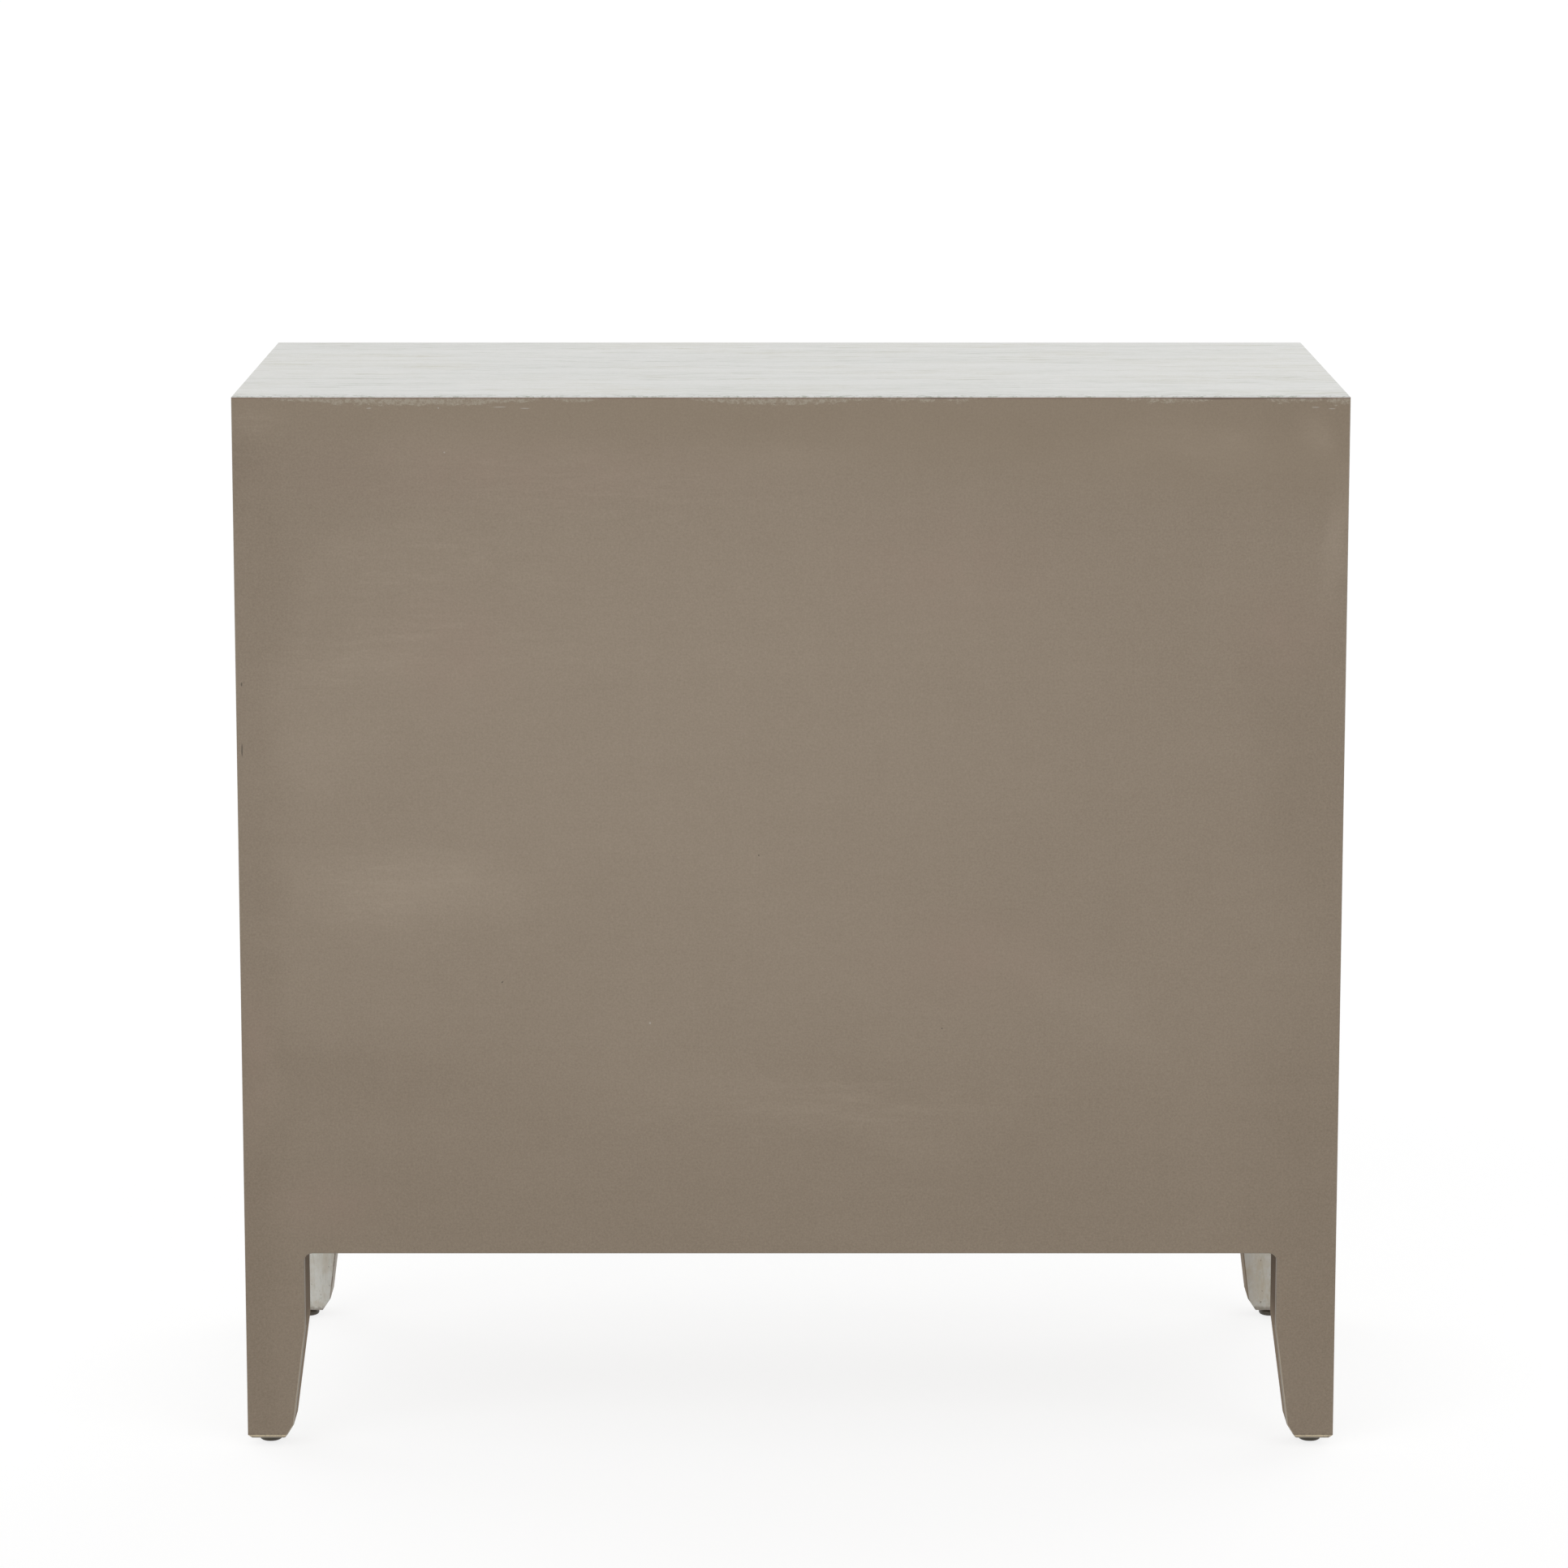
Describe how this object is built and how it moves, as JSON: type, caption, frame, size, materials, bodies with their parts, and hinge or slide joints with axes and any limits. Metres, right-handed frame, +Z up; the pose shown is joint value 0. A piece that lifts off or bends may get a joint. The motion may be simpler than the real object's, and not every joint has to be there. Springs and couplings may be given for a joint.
{
  "type": "accent cabinet",
  "caption": "Two-door accent cabinet with a whitewashed top and frame, a painted back, tapered post legs, one inner shelf and screw-in levelling feet.",
  "frame": {"origin": "on the floor plane under the feet, midway between the sides and midway between the knobs' tips and the back face", "axes": "+X along the width, to the right as one faces the doors; +Y from the doors to the back; +Z up"},
  "size_m": [0.813, 0.407, 0.792],
  "materials": {
    "whitewashed_wood": "pale whitewash over fine straight grain, satin",
    "taupe_back_paint": "brushed taupe paint, low sheen",
    "taupe_inside_paint": "taupe paint, matt",
    "brass": "aged, satin",
    "zinc_steel": "zinc plated",
    "dark_plastic": "moulded, matt"
  },
  "bodies": {
    "carcass": {"top_panel": "whitewashed_wood", "back_panel": "taupe_back_paint", "post_front_left": "whitewashed_wood", "post_front_right": "whitewashed_wood", "post_back_left": "whitewashed_wood", "post_back_right": "whitewashed_wood", "side_panel_left": "whitewashed_wood", "side_panel_right": "whitewashed_wood", "front_top_rail": "whitewashed_wood", "front_apron": "whitewashed_wood", "back_apron": "taupe_inside_paint", "bottom_panel": "taupe_inside_paint", "shelf": "taupe_inside_paint", "shelf_pin_front_left": "zinc_steel", "shelf_pin_front_right": "zinc_steel", "shelf_pin_back_left": "zinc_steel", "shelf_pin_back_right": "zinc_steel", "leveler_insert_front_left": "zinc_steel", "leveler_insert_front_right": "zinc_steel", "leveler_insert_back_left": "zinc_steel", "leveler_insert_back_right": "zinc_steel", "catch_housing": "dark_plastic", "catch_magnet": "zinc_steel", "post_leaf_upper_left": "brass", "post_leaf_lower_left": "brass", "post_leaf_upper_right": "brass", "post_leaf_lower_right": "brass", "hinge_pin_upper_left": "brass", "hinge_pin_lower_left": "brass", "hinge_pin_upper_right": "brass", "hinge_pin_lower_right": "brass"},
    "door_left": {"door_left_hinge_stile": "whitewashed_wood", "door_left_meeting_stile": "whitewashed_wood", "door_left_bottom_rail": "whitewashed_wood", "door_left_top_rail": "whitewashed_wood", "door_left_panel": "whitewashed_wood", "door_left_knob": "brass", "door_left_knob_screw": "zinc_steel", "door_left_strike": "zinc_steel", "door_left_leaf_upper": "brass", "door_left_leaf_lower": "brass"},
    "door_right": {"door_right_hinge_stile": "whitewashed_wood", "door_right_meeting_stile": "whitewashed_wood", "door_right_bottom_rail": "whitewashed_wood", "door_right_top_rail": "whitewashed_wood", "door_right_panel": "whitewashed_wood", "door_right_knob": "brass", "door_right_knob_screw": "zinc_steel", "door_right_strike": "zinc_steel", "door_right_leaf_upper": "brass", "door_right_leaf_lower": "brass"},
    "foot_front_left": {"leveler_foot_front_left": "dark_plastic"},
    "stem_front_left": {"leveler_stem_front_left": "zinc_steel"},
    "foot_front_right": {"leveler_foot_front_right": "dark_plastic"},
    "stem_front_right": {"leveler_stem_front_right": "zinc_steel"},
    "foot_back_left": {"leveler_foot_back_left": "dark_plastic"},
    "stem_back_left": {"leveler_stem_back_left": "zinc_steel"},
    "foot_back_right": {"leveler_foot_back_right": "dark_plastic"},
    "stem_back_right": {"leveler_stem_back_right": "zinc_steel"}
  },
  "joints": [
    {"name": "door_left_hinge", "type": "hinge", "parent": "carcass", "child": "door_left", "pos_m": [-0.3612, -0.1803, 0.47085], "axis": [0, 0, -1], "range_deg": [0, 175]},
    {"name": "door_right_hinge", "type": "hinge", "parent": "carcass", "child": "door_right", "pos_m": [0.3612, -0.1803, 0.47085], "axis": [0, 0, 1], "range_deg": [0, 175]},
    {"name": "foot_front_left_height", "type": "slide", "parent": "carcass", "child": "foot_front_left", "axis": [0, 0, -1], "range_m": [0, 0.008]},
    {"name": "stem_front_left_turn", "type": "hinge", "parent": "foot_front_left", "child": "stem_front_left", "pos_m": [-0.39115, -0.159, 0.01], "axis": [0, 0, -1], "range_deg": [0, 2304]},
    {"name": "foot_front_right_height", "type": "slide", "parent": "carcass", "child": "foot_front_right", "axis": [0, 0, -1], "range_m": [0, 0.008]},
    {"name": "stem_front_right_turn", "type": "hinge", "parent": "foot_front_right", "child": "stem_front_right", "pos_m": [0.39115, -0.159, 0.01], "axis": [0, 0, -1], "range_deg": [0, 2304]},
    {"name": "foot_back_left_height", "type": "slide", "parent": "carcass", "child": "foot_back_left", "axis": [0, 0, -1], "range_m": [0, 0.008]},
    {"name": "stem_back_left_turn", "type": "hinge", "parent": "foot_back_left", "child": "stem_back_left", "pos_m": [-0.39115, 0.18035, 0.01], "axis": [0, 0, -1], "range_deg": [0, 2304]},
    {"name": "foot_back_right_height", "type": "slide", "parent": "carcass", "child": "foot_back_right", "axis": [0, 0, -1], "range_m": [0, 0.008]},
    {"name": "stem_back_right_turn", "type": "hinge", "parent": "foot_back_right", "child": "stem_back_right", "pos_m": [0.39115, 0.18035, 0.01], "axis": [0, 0, -1], "range_deg": [0, 2304]}
  ],
  "couplings": [
    {"joint": "stem_front_left_turn", "follows": "foot_front_left_height", "rad_per_m": 5026.5},
    {"joint": "stem_front_right_turn", "follows": "foot_front_right_height", "rad_per_m": 5026.5},
    {"joint": "stem_back_left_turn", "follows": "foot_back_left_height", "rad_per_m": 5026.5},
    {"joint": "stem_back_right_turn", "follows": "foot_back_right_height", "rad_per_m": 5026.5}
  ]
}
